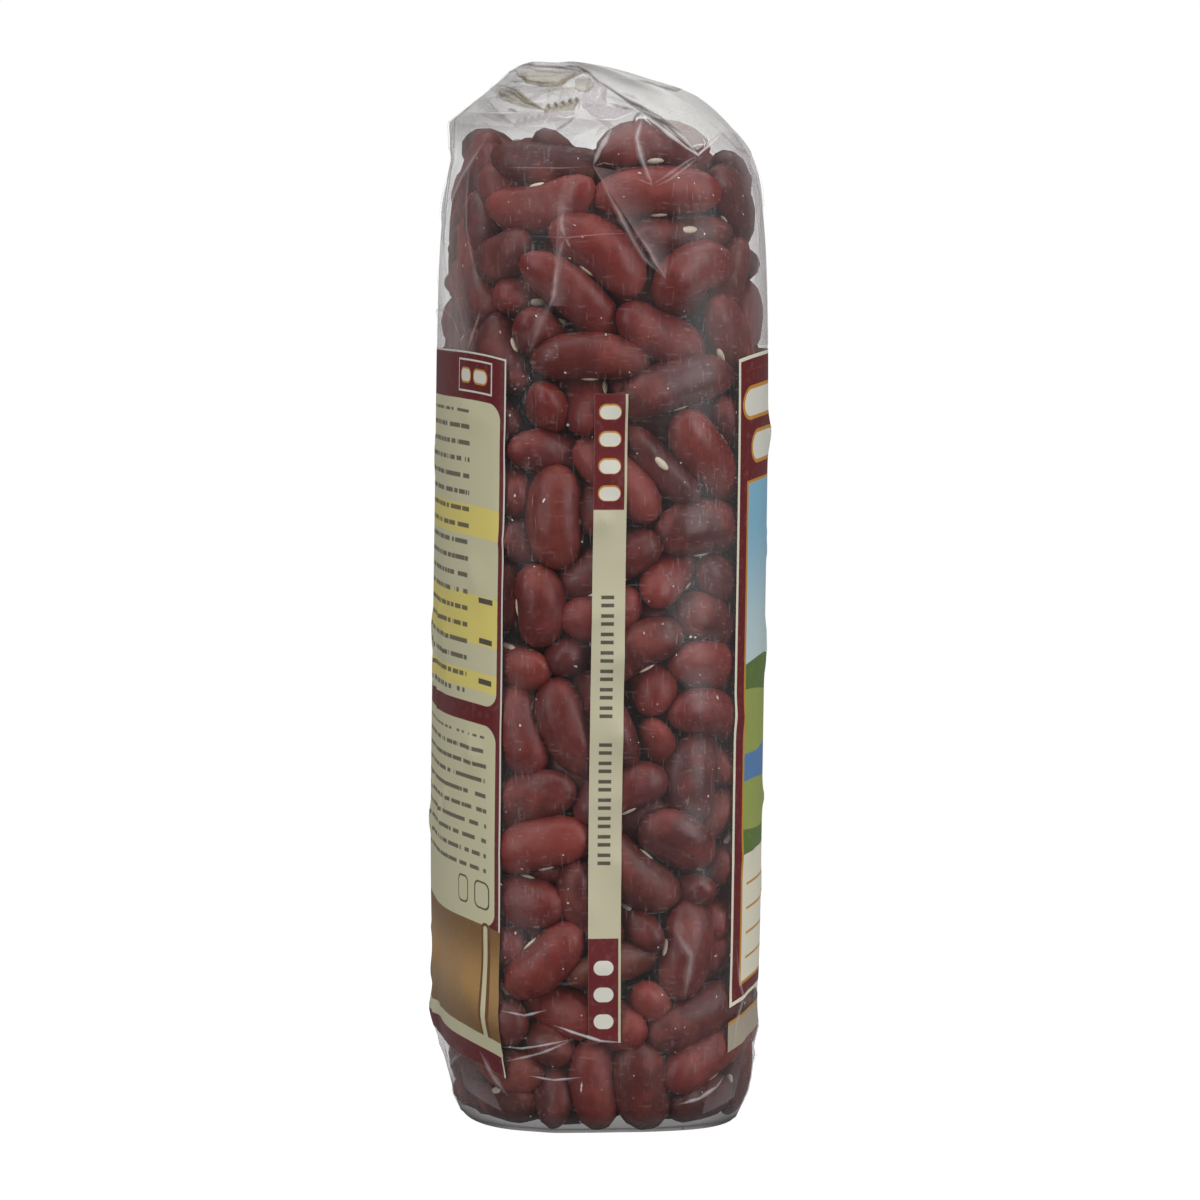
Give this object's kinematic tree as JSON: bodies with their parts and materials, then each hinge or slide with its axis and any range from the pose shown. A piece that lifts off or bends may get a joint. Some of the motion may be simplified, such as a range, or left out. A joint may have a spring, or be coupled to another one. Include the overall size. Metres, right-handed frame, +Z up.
{
  "type": "bag of dried beans",
  "caption": "Clear film bag of dried red kidney beans, standing on a flat base, with printed front and back panels and a folded, sealed top.",
  "frame": {"origin": "middle of the flat base, on the surface that the bag stands on", "axes": "+Z up, from the base to the sealed ridge; the front panel faces -Y, the back panel +Y, and the narrow sides face -X and +X"},
  "size_m": [0.0898, 0.0556, 0.175],
  "materials": {
    "bean_skin": "satin, dark red-brown seed coat with a low sheen",
    "bean_scar": "matt, off-white scar on the bean's inner edge",
    "clear_film": "glossy, thin clear film with a slight haze",
    "panel_print": "glossy, colour print on the film"
  },
  "bodies": {
    "root": {"bean_bag": "bean_skin"}
  },
  "joints": []
}
